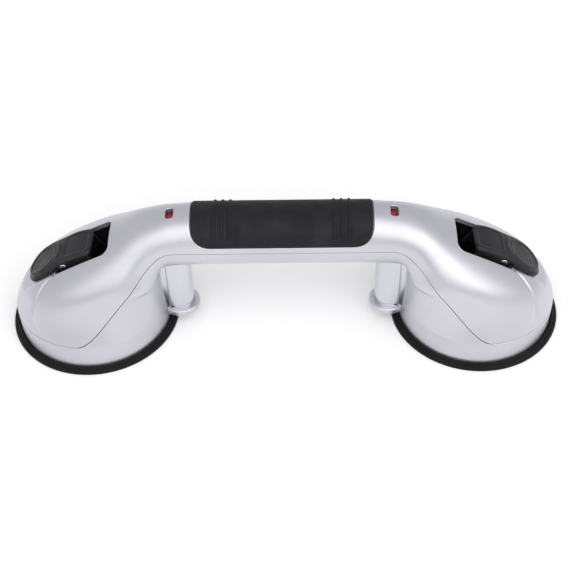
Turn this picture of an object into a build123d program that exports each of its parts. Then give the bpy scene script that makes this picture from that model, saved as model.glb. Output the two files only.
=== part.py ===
from build123d import *
import os
from math import cos, pi, radians, sin

# Suction grab bar. X runs along the bar, Z stands out from the wall, and the wall is the plane Z = 0.
# Everything is symmetric about X = 0 and Y = 0. Each side piece is modelled at X > 0 and mirrored.

# ---- Driving dimensions, mm ----
LENGTH = 305.0
CUP_R = 46.5
CUP_X = LENGTH / 2 - CUP_R
BAR_R = 16.5
BAR_Z = 61.0
WALL = 2.5
GAP = 0.3
RUNNING = 0.05

# Housing sections. Across the straight bar: X of each.
STRAIGHT_X = (20, 32, 44)
# Shoulder, where the top has begun to fall: X, underside Z, top Z.
SHOULDER = (54, 44.5, 76.3)
# Bend: sections fan round a pivot below the shoulder. Turn from upright in degrees, inner radius,
# outer radius, half width.
BEND_X = 65.0
BEND_Z = 38.0
BEND = (
    (0, 7.0, 36.4, 17.0),
    (22.5, 7.0, 34.2, 19.3),
    (45, 6.5, 34.6, 23.9),
    (67.5, 5.5, 42.7, 28.4),
    (90, 4.0, 67.3, 31.4),
)
# Dome: level sections. Z, inner X, outer X, half width.
DOME = ((24, 66.5, 145.3, 35.2), (14.5, 65.0, 148.6, 40.2))
SKIRT_TOP = 14.5
SKIRT_BOTTOM = 3.0
SKIRT_R = 41.5
RING_POINTS = 16
REACH = 60.0

# Parting line between the shells: level along the bar, down the dome's flank, level round the skirt.
PARTING = ((58, BAR_Z), (68, 55.5), (80, 43.2), (95, 25), (104, 17), (112, SKIRT_TOP))
PARTING_GAP = 0.25

# Lever opening, in plan, and the finger scoop under the lever's tip, in side view.
OPENING_IN = 91.5
OPENING_OUT = 121.5
OPENING_HALF = 12.4
OPENING_CORNER = 4.0
OPENING_DEPTH = 30.0
SCOOP_TOP = Vector(119, 0, 43.1)
SCOOP_END = Vector(146.5, 0, 23.1)

# Lever hinge, cross pin and cam.
HINGE_X = 116.8
HINGE_Z = 45.7
LEVER_OPEN = 45.0
STUD_TRAVEL = 4.0
CAM_Z = 36.0
CAM_PIN_R = 1.5
CAM_CLEAR = 0.1
CAM_RIM = 2.3
CAM_STEPS = 8
HINGE_PIN_R = 1.8
HINGE_PIN_HALF = 9.9
HUB_R = 4.2

# Lever, side outline and plan.
LEVER_TOP = ((101.5, 57.2), (109, 55.2), (HINGE_X, 51.4), (124, 47.2), (132, 41), (138.2, 34.8))
LEVER_NOSE = (139.4, 33.1)
LEVER_UNDER = ((138.2, 31.6), (124.5, 41.9), (119.5, 46.6), (109, 51.6), (101.5, 53.4))
LEVER_SIDE = ((101.5, 9.6), (110, 10.1), (119.5, 9.6), (126, 10.0), (132, 10.2))
LEVER_HEEL_CORNER = 2.5
LEVER_RECESS = 0.8
HEEL_PAD_X = 109.5
HEEL_PAD = (12, 14)
HEEL_PAD_CORNER = 3
TIP_PAD_X = 129.5
TIP_PAD = (7, 6.5)
CHEEK_OUT = 9.5
CHEEK_IN = 7.6
CHEEK_HEEL = (103.5, 53.5)
CHEEK_HEEL_R = 1

# Frame under each lever.
PLATE_Z = 13.0
PLATE_T = 3.0
PLATE_R = 36.3
WELL_IN = 90.0
WELL_OUT = 125.4
WELL_HALF = 14.2
WELL_WALL = 1.4
LUG_IN = 5.2
LUG_OUT = 7.3
LUG_R = 2.9
LUG_FOOT = 6.0
GUIDE_R = 7.0
GUIDE_TOP = 22.0
STUD_R = 4.5
STUD_TOP = 40.0
FRAME_SCREW_X = (CUP_X - 23, CUP_X + 23)
FRAME_SCREW_Y = 18.0
SCREW_R = 1.5
FRAME_SCREW_L = 13.0
HEAD_R = 2.8
HEAD_H = 1.8
DRIVE_L = 2.6
DRIVE_W = 0.6
DRIVE_CORNER = 0.2
DRIVE_DEPTH = 0.9
BOSS_R = 3.2

# Suction cup, as radius and height of its profile.
DISH_R = 14.0
DISH_Z = 4.5
CUP_T = 3.0
LIP_FOOT = 31.0
RING_IN = 34.0
RING_OUT = 37.5
PRESSURE_PLATE_T = 1.5
PRESSURE_PLATE_EDGE = 0.6
STUD_EDGE = 1
# Lip of the cup, as distance in from its rim and height, from the foot over two steps.
LIP_STEPS = ((1, 0), (0, 1.1), (1.1, 2.2), (1.5, 2.2), (2.1, 3.5), (3.4, 3.9))

# Grip pad and its ribs.
PAD_HALF = 47.0
PAD_FOOT = 65.1
PAD_IN = 15.0
PAD_OUT = 16.8
PAD_CORNER = 10.0
PAD_GAP = 0.35
RIB_X = (27, 31, 35)
RIB_W = 1.5
RIB_R = 17.4
RIB_FOOT = 69.0

# Post, foot collar and indicator.
POST_X = 57.7
POST_R = 7.6
POST_FLAT = 63.4
WEB_OUT = 68.0
WEB_HALF = 6.2
POST_TOP = BAR_Z - BAR_R + WALL
COLLAR_R = 10.4
COLLAR_Z = 6.0
COLLAR_TOP = 9.8
COLLAR_ROUND = 1.3
COLLAR_EDGE = 0.5
POST_BOTTOM = 7.5
PLUNGER_X = 56.5
PLUNGER_R = 2.0
PLUNGER_TIP = 1.0
PLUNGER_TRAVEL = 4.0
PLUNGER_ROUND = 1.0
YOKE_LIFT = 3.0
YOKE_T = 2.5
FINGER_T = 2.0
CHAMBER_R = 3.9
CHAMBER_TOP = 40.0
SEAT_R = 3.5
SEAT_T = 2.0
SPRING_R = 2.9
WIRE_R = 0.35
SPRING_TURNS = 9
DRAIN_R = 0.7
DRAIN_X = 61.5
FLAG_X = 58.3
FLAG_Z = 64.0
FLAG_R = 8.0
FLAG_HALF = 3.8
FLAG_FROM = 68.0
FLAG_SPREAD = 84.0
FLAG_TURN = 40.0
FLAG_HUB_R = 2.4
FLAG_PIN_R = 1.0
CRANK = PLUNGER_TRAVEL / radians(FLAG_TURN)
NOSE_R = 1.2
CRANK_W = 1.6
CRADLE_IN = 4.4
CRADLE_OUT = 5.8
WINDOW = (5.0, 8.4)
WINDOW_CORNER = 1.2
LENS_Z = 73.6
LENS_T = 1.2

# Screws that join the shells under the bar.
SHELL_SCREW_X = 25.0
SHELL_BOSS_R = 5.2
SHELL_SEAT_Z = 50.0
SHELL_JOIN_Z = 53.0
SHELL_SCREW_TOP = 64.0


def section_plane(x, z, turn):
    """Plane across the housing: local X is world Y, local Y leans from +Z towards +X by turn degrees."""
    lean = radians(turn)
    return Plane(origin=(x, 0, z), x_dir=(0, 1, 0), z_dir=(cos(lean), 0, -sin(lean)))


def housing_sections():
    """Each section of the right half, from the bar's middle to the dome: X, Z, turn, half depth and width."""
    places = [(x, BAR_Z, 0, BAR_R, BAR_R) for x in STRAIGHT_X]
    x, bottom, top = SHOULDER
    places.append((x, (top + bottom) / 2, 0, (top - bottom) / 2, BAR_R))
    for turn, inner, outer, width in BEND:
        middle = (inner + outer) / 2
        x = BEND_X + middle * sin(radians(turn))
        z = BEND_Z + middle * cos(radians(turn))
        places.append((x, z, turn, (outer - inner) / 2, width))
    for z, inner, outer, width in DOME:
        places.append(((inner + outer) / 2, z, 90, (outer - inner) / 2, width))
    return places


def ring(x, z, turn, depth, width):
    """Closed oval face across the housing."""
    turns = [2 * pi * k / RING_POINTS for k in range(RING_POINTS)]
    with BuildSketch(section_plane(x, z, turn)) as oval:
        with BuildLine():
            Spline(*[(width * cos(turn), depth * sin(turn)) for turn in turns], periodic=True)
        make_face()
    return oval.sketch


def scoop(inset):
    """Space above the flat scoop under the lever's tip, grown by inset into the dome."""
    along = (SCOOP_END - SCOOP_TOP).normalized()
    inward = Vector(along.Z, 0, -along.X) * inset
    top = SCOOP_TOP + inward
    end = SCOOP_END + inward
    with BuildPart() as wedge:
        with BuildSketch(Plane.XZ):
            with BuildLine():
                Polyline((top.X, top.Z), (end.X, end.Z), (end.X, REACH), (top.X, REACH), close=True)
            make_face()
        extrude(amount=OPENING_HALF + inset, both=True)
        mirror(about=Plane.YZ)
    return wedge.part


def housing(inset, floor):
    """Solid housing, inset everywhere from its outer skin, down to floor."""
    sections = housing_sections()
    ovals = [ring(x, z, turn, depth - inset, width - inset) for x, z, turn, depth, width in sections]
    top_x, top_z, turn, top_depth, top_width = sections[-1]
    drop = (top_z - floor) / (top_z - SKIRT_BOTTOM)
    foot_x = top_x + (CUP_X - top_x) * drop
    foot_depth = top_depth + (SKIRT_R - top_depth) * drop - inset
    foot_width = top_width + (SKIRT_R - top_width) * drop - inset
    with BuildPart() as body:
        loft(sections=ovals)
        loft(sections=[ovals[-1], ring(foot_x, floor, turn, foot_depth, foot_width)], ruled=True)
        mirror(about=Plane.YZ)
        extrude(ovals[0], amount=2 * STRAIGHT_X[0], dir=(-1, 0, 0))
        add(scoop(inset), mode=Mode.SUBTRACT)
    return body.part


def below_parting(lift):
    """Everything on the wall side of the parting line, with the line raised by lift."""
    points = [(x, z + lift) for x, z in PARTING]
    with BuildPart() as region:
        with BuildSketch(Plane.XZ):
            with BuildLine():
                Line((0, points[0][1]), points[0])
                Spline(*points, tangents=((1, 0), (1, 0)))
                Polyline(points[-1], (LENGTH, points[-1][1]), (LENGTH, -REACH), (0, -REACH))
                mirror(about=Plane.YZ)
            make_face()
        extrude(amount=REACH, both=True)
    return region.part


def plan(z):
    return Plane.XY.offset(z)


def post_outline(z, grow):
    """Post in plan, grown all round: round towards the bar's middle, flat-sided with a web at the dome."""
    with BuildSketch(plan(z)) as outline:
        with Locations((POST_X, 0)):
            Circle(POST_R + grow)
        with Locations(((POST_X + POST_FLAT + grow) / 2, 0)):
            Rectangle(POST_FLAT + grow - POST_X, 2 * (POST_R + grow))
        with Locations(((POST_X + WEB_OUT) / 2, 0)):
            Rectangle(WEB_OUT - POST_X, 2 * (WEB_HALF + grow))
    return outline.sketch


def hand_in(node, part):
    part.label = node
    export_step(part, f"parts/{node}.step")


def hand_in_pair(node, right_part):
    hand_in(f"right_{node}", right_part)
    hand_in(f"left_{node}", mirror(right_part, about=Plane.YZ))


os.makedirs("parts", exist_ok=True)

outer = housing(0, SKIRT_BOTTOM)
cavity = housing(WALL, SKIRT_BOTTOM - WALL)
boss_limit = housing(WALL / 2, SKIRT_BOTTOM)
frame_limit = housing(WALL + GAP, SKIRT_BOTTOM)
shell = outer - cavity
frame_screw_spots = [(x, y) for x in FRAME_SCREW_X for y in (-FRAME_SCREW_Y, FRAME_SCREW_Y)]

# ---- Upper shell ----
with BuildPart() as bosses:
    with BuildSketch(plan(PLATE_Z + PLATE_T)):
        with Locations(*frame_screw_spots):
            Circle(BOSS_R)
    extrude(amount=REACH)
    with BuildSketch(plan(SHELL_JOIN_Z)):
        with Locations((SHELL_SCREW_X, 0)):
            Circle(BOSS_R)
    extrude(amount=REACH)
    mirror(about=Plane.YZ)
    add(boss_limit, mode=Mode.INTERSECT)

with BuildPart() as upper_cuts:
    with BuildSketch(plan(OPENING_DEPTH)) as opening:
        with Locations(((OPENING_IN + OPENING_OUT) / 2, 0)):
            Rectangle(OPENING_OUT - OPENING_IN, 2 * OPENING_HALF)
        fillet(opening.vertices().group_by(Axis.X)[0], OPENING_CORNER)
    extrude(amount=REACH)
    with BuildSketch(plan(BAR_Z)):
        with Locations((FLAG_X, 0)):
            RectangleRounded(*WINDOW, WINDOW_CORNER)
    extrude(amount=REACH)
    with BuildSketch(plan(PLATE_Z)):
        with Locations(*frame_screw_spots):
            Circle(SCREW_R + RUNNING)
    extrude(amount=FRAME_SCREW_L + 1)
    with BuildSketch(plan(SHELL_JOIN_Z)):
        with Locations((SHELL_SCREW_X, 0)):
            Circle(SCREW_R + RUNNING)
    extrude(amount=SHELL_SCREW_TOP - SHELL_JOIN_Z + 1)
    mirror(about=Plane.YZ)

with BuildPart() as grip_outline:
    with BuildSketch(Plane.XZ) as grip_side:
        with Locations((0, PAD_FOOT + REACH / 2)):
            Rectangle(2 * PAD_HALF, REACH)
        fillet(grip_side.vertices().group_by(Axis.Y)[0], PAD_CORNER)
    extrude(amount=REACH, both=True)

with BuildPart() as grip_recess:
    with BuildSketch(Plane.YZ):
        with Locations((0, BAR_Z)):
            Circle(BAR_R + WALL)
            Circle(PAD_IN - RUNNING, mode=Mode.SUBTRACT)
    extrude(amount=REACH, both=True)
    add(offset(grip_outline.part, amount=PAD_GAP, mode=Mode.PRIVATE), mode=Mode.INTERSECT)

with BuildPart() as upper_shell:
    add(shell)
    add(below_parting(PARTING_GAP), mode=Mode.SUBTRACT)
    add(bosses.part)
    add(upper_cuts.part, mode=Mode.SUBTRACT)
    add(grip_recess.part, mode=Mode.SUBTRACT)

hand_in("upper_shell", upper_shell.part)

# ---- Lower shell, with the posts ----
with BuildPart() as lower_adds:
    with BuildSketch(plan(SHELL_SEAT_Z - WALL)):
        with Locations((SHELL_SCREW_X, 0)):
            Circle(SHELL_BOSS_R)
    extrude(amount=SHELL_JOIN_Z - SHELL_SEAT_Z + WALL)
    extrude(post_outline(POST_BOTTOM, 0), amount=POST_TOP - POST_BOTTOM)
    with BuildSketch(plan(POST_TOP - 1)):
        with Locations((FLAG_X, (CRADLE_IN + CRADLE_OUT) / 2), (FLAG_X, -(CRADLE_IN + CRADLE_OUT) / 2)):
            Rectangle(2 * FLAG_HUB_R, CRADLE_OUT - CRADLE_IN)
    extrude(amount=FLAG_Z + FLAG_PIN_R - POST_TOP + 1)
    mirror(about=Plane.YZ)

drain_mouth = Vector(DRAIN_X, -POST_R - DRAIN_R, COLLAR_TOP + 2 * DRAIN_R)
drain_inner = Vector(PLUNGER_X, 0, COLLAR_TOP + 2 * DRAIN_R)

with BuildPart() as lower_cuts:
    with BuildSketch(plan(SHELL_SEAT_Z - 2 * WALL - 1)):
        with Locations((SHELL_SCREW_X, 0)):
            Circle(HEAD_R + GAP)
    extrude(amount=2 * WALL + 1)
    with BuildSketch(plan(SHELL_SEAT_Z)):
        with Locations((SHELL_SCREW_X, 0)):
            Circle(SCREW_R + RUNNING)
    extrude(amount=SHELL_JOIN_Z - SHELL_SEAT_Z)
    with BuildSketch(Plane.XZ):
        with Locations((FLAG_X, FLAG_Z)):
            Circle(FLAG_PIN_R + RUNNING)
        with Locations((FLAG_X, FLAG_Z + FLAG_HUB_R)):
            Rectangle(2 * FLAG_PIN_R, 2 * FLAG_HUB_R)
    extrude(amount=CRADLE_OUT + GAP, both=True)
    with BuildSketch(plan(POST_BOTTOM)):
        with Locations((PLUNGER_X, 0)):
            Circle(CHAMBER_R)
    extrude(amount=CHAMBER_TOP - POST_BOTTOM)
    with BuildSketch(plan(CHAMBER_TOP)):
        with Locations((PLUNGER_X, 0)):
            Circle(PLUNGER_R + RUNNING)
    extrude(amount=POST_TOP + 1 - CHAMBER_TOP)
    with BuildSketch(Plane(origin=drain_mouth, z_dir=drain_inner - drain_mouth)):
        Circle(DRAIN_R)
    extrude(amount=(drain_inner - drain_mouth).length)
    mirror(about=Plane.YZ)

with BuildPart() as lower_shell:
    add(shell)
    add(below_parting(0), mode=Mode.INTERSECT)
    add(lower_adds.part)
    add(lower_cuts.part, mode=Mode.SUBTRACT)

hand_in("lower_shell", lower_shell.part)

# ---- Grip pad ----
with BuildPart() as ribs:
    for x in RIB_X:
        with BuildSketch(Plane.YZ.offset(x - RIB_W / 2)):
            with Locations((0, BAR_Z)):
                Circle(RIB_R)
                Circle(PAD_IN + RUNNING, mode=Mode.SUBTRACT)
            with Locations((0, RIB_FOOT - REACH / 2)):
                Rectangle(REACH, REACH, mode=Mode.SUBTRACT)
        extrude(amount=RIB_W)
    mirror(about=Plane.YZ)

with BuildPart() as grip_pad:
    with BuildSketch(Plane.YZ):
        with Locations((0, BAR_Z)):
            Circle(PAD_OUT)
            Circle(PAD_IN, mode=Mode.SUBTRACT)
    extrude(amount=REACH, both=True)
    add(grip_outline.part, mode=Mode.INTERSECT)
    add(ribs.part)

hand_in("grip_pad", grip_pad.part)


def screws(spots, seat, tip):
    """Pan-head screws driven in +Z at each spot, heads bearing on seat."""
    with BuildPart() as group:
        with BuildSketch(plan(seat)):
            with Locations(*spots):
                Circle(HEAD_R)
        extrude(amount=-HEAD_H)
        with BuildSketch(plan(seat)):
            with Locations(*spots):
                Circle(SCREW_R)
        extrude(amount=tip - seat)
        with BuildSketch(plan(seat - HEAD_H)):
            with Locations(*spots):
                RectangleRounded(DRIVE_L, DRIVE_W, DRIVE_CORNER)
                RectangleRounded(DRIVE_W, DRIVE_L, DRIVE_CORNER)
        extrude(amount=DRIVE_DEPTH, mode=Mode.SUBTRACT)
    return group.part


hand_in("shell_screws", screws([(-SHELL_SCREW_X, 0), (SHELL_SCREW_X, 0)], SHELL_SEAT_Z, SHELL_SCREW_TOP))
hand_in_pair("frame_screws", screws(frame_screw_spots, PLATE_Z, PLATE_Z + FRAME_SCREW_L))


def cam_point(share):
    """Centre of the cross pin as the lever sees it, when the stud is down by share of its travel."""
    turn = radians(LEVER_OPEN * share)
    x = CUP_X - HINGE_X
    z = CAM_Z - STUD_TRAVEL * share - HINGE_Z
    return (HINGE_X + x * cos(turn) + z * sin(turn), HINGE_Z - x * sin(turn) + z * cos(turn))


cam_path = [cam_point(step / CAM_STEPS) for step in range(CAM_STEPS + 1)]
slot_r = CAM_PIN_R + CAM_CLEAR

# ---- Lever: a finger plate over two cheeks with the cam slots ----
with BuildPart() as cam_cut:
    with BuildSketch(Plane.XZ):
        with BuildLine() as cam_line:
            Spline(*cam_path)
        trace(cam_line.line, line_width=2 * slot_r)
        with Locations(cam_path[0], cam_path[-1]):
            Circle(slot_r)
    extrude(amount=REACH, both=True)

with BuildPart() as recesses:
    with BuildSketch(plan(0)):
        with Locations((HEEL_PAD_X, 0)):
            RectangleRounded(*HEEL_PAD, HEEL_PAD_CORNER)
        with Locations((TIP_PAD_X, 0)):
            Ellipse(*TIP_PAD)
    extrude(amount=REACH)
    with BuildSketch(Plane.XZ):
        with BuildLine():
            Spline(*[(x, z - LEVER_RECESS) for x, z in LEVER_TOP])
            Polyline(
                (LEVER_TOP[-1][0], LEVER_TOP[-1][1] - LEVER_RECESS),
                (LEVER_TOP[-1][0], 0),
                (LEVER_TOP[0][0], 0),
                (LEVER_TOP[0][0], LEVER_TOP[0][1] - LEVER_RECESS),
            )
        make_face()
    extrude(amount=REACH, both=True, mode=Mode.SUBTRACT)

with BuildPart() as lever:
    with BuildSketch(Plane.XZ):
        with BuildLine():
            Spline(*LEVER_TOP)
            ThreePointArc(LEVER_TOP[-1], LEVER_NOSE, LEVER_UNDER[0])
            Polyline(*LEVER_UNDER, LEVER_TOP[0])
        make_face()
    extrude(amount=REACH, both=True)
    with BuildSketch(plan(0)) as lever_plan:
        with BuildLine():
            Spline(*LEVER_SIDE)
            ThreePointArc(LEVER_SIDE[-1], (LEVER_NOSE[0], 0), (LEVER_SIDE[-1][0], -LEVER_SIDE[-1][1]))
            Spline(*[(x, -y) for x, y in reversed(LEVER_SIDE)])
            Line((LEVER_SIDE[0][0], -LEVER_SIDE[0][1]), LEVER_SIDE[0])
        make_face()
        fillet(lever_plan.vertices().group_by(Axis.X)[0], LEVER_HEEL_CORNER)
    extrude(amount=2 * REACH, mode=Mode.INTERSECT)
    add(recesses.part, mode=Mode.SUBTRACT)
    for side in (-1, 1):
        with BuildSketch(Plane.XZ.offset(side * (CHEEK_IN + CHEEK_OUT) / 2)):
            with Locations((HINGE_X, HINGE_Z)):
                Circle(HUB_R)
            with Locations(cam_path[0], cam_path[-1]):
                Circle(slot_r + CAM_RIM)
            with Locations(CHEEK_HEEL):
                Circle(CHEEK_HEEL_R)
            make_hull()
        extrude(amount=(CHEEK_OUT - CHEEK_IN) / 2, both=True)
    with BuildSketch(Plane.XZ):
        with Locations((HINGE_X, HINGE_Z)):
            Circle(HINGE_PIN_R)
    extrude(amount=REACH, both=True, mode=Mode.SUBTRACT)
    with BuildSketch(Plane.XZ):
        with Locations((HINGE_X, HINGE_Z)):
            Circle(LUG_R + GAP)
    extrude(amount=CHEEK_IN, both=True, mode=Mode.SUBTRACT)
    add(cam_cut.part, mode=Mode.SUBTRACT)

hand_in_pair("lever", lever.part)

with BuildPart() as lever_pin:
    with BuildSketch(Plane.XZ):
        with Locations((HINGE_X, HINGE_Z)):
            Circle(HINGE_PIN_R)
    extrude(amount=HINGE_PIN_HALF, both=True)
    chamfer(lever_pin.edges(), GAP)

hand_in_pair("lever_pin", lever_pin.part)

# ---- Frame: plate, well round the lever, lugs for the hinge pin and guide for the stud ----
with BuildPart() as lever_frame:
    with BuildSketch(plan(PLATE_Z)):
        with Locations((CUP_X, 0)):
            Circle(PLATE_R)
    extrude(amount=PLATE_T)
    with BuildSketch(plan(PLATE_Z + PLATE_T)):
        with Locations(((WELL_IN + WELL_OUT) / 2, 0)):
            Rectangle(WELL_OUT - WELL_IN, 2 * WELL_HALF)
            Rectangle(WELL_OUT - WELL_IN - 2 * WELL_WALL, 2 * (WELL_HALF - WELL_WALL), mode=Mode.SUBTRACT)
    extrude(amount=REACH)
    add(frame_limit, mode=Mode.INTERSECT)
    for side in (-1, 1):
        with BuildSketch(Plane.XZ.offset(side * (LUG_IN + LUG_OUT) / 2)):
            with Locations((HINGE_X, HINGE_Z)):
                Circle(LUG_R)
            with Locations((HINGE_X, PLATE_Z + PLATE_T / 2)):
                Rectangle(2 * LUG_FOOT, PLATE_T)
            make_hull()
        extrude(amount=(LUG_OUT - LUG_IN) / 2, both=True)
    with BuildSketch(Plane.XZ):
        with Locations((HINGE_X, HINGE_Z)):
            Circle(HINGE_PIN_R + RUNNING)
    extrude(amount=LUG_OUT + GAP, both=True, mode=Mode.SUBTRACT)
    with BuildSketch(plan(PLATE_Z)):
        with Locations((CUP_X, 0)):
            Circle(GUIDE_R)
    extrude(amount=GUIDE_TOP - PLATE_Z)
    with BuildSketch(plan(PLATE_Z)):
        with Locations((CUP_X, 0)):
            Circle(STUD_R + RUNNING)
    extrude(amount=GUIDE_TOP - PLATE_Z, mode=Mode.SUBTRACT)
    with BuildSketch(plan(PLATE_Z)):
        with Locations(*frame_screw_spots):
            Circle(SCREW_R + RUNNING)
    extrude(amount=PLATE_T, mode=Mode.SUBTRACT)

hand_in_pair("lever_frame", lever_frame.part)

# ---- Stud, cross pin and pressure plate: what the lever lifts ----
plate_bottom = DISH_Z + CUP_T
stud_bottom = plate_bottom + PRESSURE_PLATE_T

with BuildPart() as cup_stud:
    with BuildSketch(plan(stud_bottom)):
        with Locations((CUP_X, 0)):
            Circle(STUD_R)
    extrude(amount=STUD_TOP - stud_bottom)
    with BuildSketch(Plane.XZ):
        with Locations((CUP_X, CAM_Z)):
            Circle(CAM_PIN_R)
    extrude(amount=STUD_R, both=True, mode=Mode.SUBTRACT)
    chamfer(cup_stud.edges().group_by(Axis.Z)[-1], STUD_EDGE)

hand_in_pair("cup_stud", cup_stud.part)

with BuildPart() as cam_pin:
    with BuildSketch(Plane.XZ):
        with Locations((CUP_X, CAM_Z)):
            Circle(CAM_PIN_R)
    extrude(amount=CHEEK_OUT, both=True)
    chamfer(cam_pin.edges(), GAP)

hand_in_pair("cam_pin", cam_pin.part)

with BuildPart() as pressure_plate:
    with BuildSketch(plan(plate_bottom)):
        with Locations((CUP_X, 0)):
            Circle(DISH_R - GAP)
    extrude(amount=PRESSURE_PLATE_T)
    chamfer(pressure_plate.edges().group_by(Axis.Z)[-1], PRESSURE_PLATE_EDGE)

hand_in_pair("pressure_plate", pressure_plate.part)

# ---- Suction cup ----
lip = [(CUP_R - inward, height) for inward, height in LIP_STEPS]

with BuildPart() as suction_cup:
    with BuildSketch(Plane(origin=(CUP_X, 0, 0), x_dir=(1, 0, 0), z_dir=(0, -1, 0))):
        with BuildLine():
            Polyline((0, plate_bottom), (0, DISH_Z), (DISH_R, DISH_Z))
            Spline((DISH_R, DISH_Z), (LIP_FOOT, 0), tangents=((1, 0), (1, 0)))
            Line((LIP_FOOT, 0), lip[0])
            ThreePointArc(*lip[:3])
            Line(lip[2], lip[3])
            ThreePointArc(*lip[3:])
            Polyline(
                lip[-1],
                (SKIRT_R + GAP, lip[-1][1]),
                (SKIRT_R + GAP, SKIRT_BOTTOM),
                (RING_OUT, SKIRT_BOTTOM),
                (RING_OUT, PLATE_Z),
                (RING_IN, PLATE_Z),
                (RING_IN, CUP_T),
            )
            Spline((RING_IN, CUP_T), (DISH_R, plate_bottom), tangents=((-1, 0), (-1, 0)))
            Line((DISH_R, plate_bottom), (0, plate_bottom))
        make_face()
    revolve(axis=Axis((CUP_X, 0, 0), (0, 0, 1)))

hand_in_pair("suction_cup", suction_cup.part)

# ---- Foot collar on the post ----
with BuildPart() as foot_collar:
    with BuildSketch(plan(COLLAR_Z)):
        with Locations((POST_X, 0)):
            Circle(COLLAR_R)
    extrude(amount=COLLAR_TOP - COLLAR_Z)
    fillet(foot_collar.edges().group_by(Axis.Z)[-1], COLLAR_ROUND)
    chamfer(foot_collar.edges().group_by(Axis.Z)[0], COLLAR_EDGE)
    extrude(post_outline(POST_BOTTOM, RUNNING), amount=COLLAR_TOP - POST_BOTTOM, mode=Mode.SUBTRACT)
    with BuildSketch(plan(COLLAR_Z)):
        with Locations((PLUNGER_X, 0)):
            Circle(PLUNGER_R + RUNNING)
    extrude(amount=POST_BOTTOM - COLLAR_Z, mode=Mode.SUBTRACT)
    add(housing(-GAP / 2, SKIRT_BOTTOM), mode=Mode.SUBTRACT)

hand_in_pair("foot_collar", foot_collar.part)

# ---- Indicator: plunger, spring, flag, pin and lens ----
nose_x = FLAG_X - CRANK * cos(radians(FLAG_TURN / 2))
nose_z = FLAG_Z - CRANK * sin(radians(FLAG_TURN / 2))
finger_top = nose_z - NOSE_R - GAP
yoke_z = POST_TOP + YOKE_LIFT

with BuildPart() as indicator_plunger:
    with BuildSketch(plan(PLUNGER_TIP)):
        with Locations((PLUNGER_X, 0)):
            Circle(PLUNGER_R)
    extrude(amount=yoke_z - PLUNGER_TIP)
    fillet(indicator_plunger.edges().group_by(Axis.Z)[0], PLUNGER_ROUND)
    with BuildSketch(plan(POST_BOTTOM)):
        with Locations((PLUNGER_X, 0)):
            Circle(SEAT_R)
    extrude(amount=SEAT_T)
    with BuildSketch(plan(yoke_z)):
        with Locations(((nose_x - NOSE_R + PLUNGER_X + PLUNGER_R) / 2, 0)):
            Rectangle(PLUNGER_X + PLUNGER_R - nose_x + NOSE_R, 2 * PLUNGER_R)
    extrude(amount=YOKE_T)
    with BuildSketch(plan(yoke_z)):
        with Locations((nose_x, 0)):
            Rectangle(FINGER_T, 2 * PLUNGER_R)
    extrude(amount=finger_top - yoke_z)

hand_in_pair("indicator_plunger", indicator_plunger.part)

spring_foot = POST_BOTTOM + SEAT_T + WIRE_R
spring_pitch = (CHAMBER_TOP - WIRE_R - spring_foot) / SPRING_TURNS

with BuildPart() as plunger_spring:
    with BuildLine(Plane(origin=(PLUNGER_X, 0, spring_foot))) as coil:
        Helix(spring_pitch, spring_pitch * SPRING_TURNS, SPRING_R)
    with BuildSketch(Plane(origin=coil.line @ 0, z_dir=coil.line % 0)):
        Circle(WIRE_R)
    sweep(is_frenet=True)

hand_in_pair("plunger_spring", plunger_spring.part)

with BuildPart() as indicator_flag:
    with BuildSketch(Plane.XZ):
        with BuildLine():
            rim = CenterArc((FLAG_X, FLAG_Z), FLAG_R, FLAG_FROM, FLAG_SPREAD)
            Polyline(rim @ 1, (FLAG_X, FLAG_Z), rim @ 0)
        make_face()
        with Locations((FLAG_X, FLAG_Z)):
            Circle(FLAG_HUB_R)
        with Locations((nose_x, nose_z)):
            Circle(NOSE_R)
        with BuildLine() as crank_line:
            Line((nose_x, nose_z), (FLAG_X, FLAG_Z))
        trace(crank_line.line, line_width=CRANK_W)
        with Locations((FLAG_X, FLAG_Z)):
            Circle(FLAG_PIN_R + RUNNING, mode=Mode.SUBTRACT)
    extrude(amount=FLAG_HALF, both=True)

hand_in_pair("indicator_flag", indicator_flag.part)

with BuildPart() as flag_pin:
    with BuildSketch(Plane.XZ):
        with Locations((FLAG_X, FLAG_Z)):
            Circle(FLAG_PIN_R)
    extrude(amount=CRADLE_OUT, both=True)

hand_in_pair("flag_pin", flag_pin.part)

with BuildPart() as window_lens:
    with BuildSketch(plan(LENS_Z)):
        with Locations((FLAG_X, 0)):
            RectangleRounded(WINDOW[0] - 2 * RUNNING, WINDOW[1] - 2 * RUNNING, WINDOW_CORNER)
    extrude(amount=LENS_T)

hand_in_pair("window_lens", window_lens.part)
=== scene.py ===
from math import cos, pi, radians, sin

import bmesh
import bpy
import numpy as np
from mathutils import Matrix, Vector
from mathutils.geometry import tessellate_polygon


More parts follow.
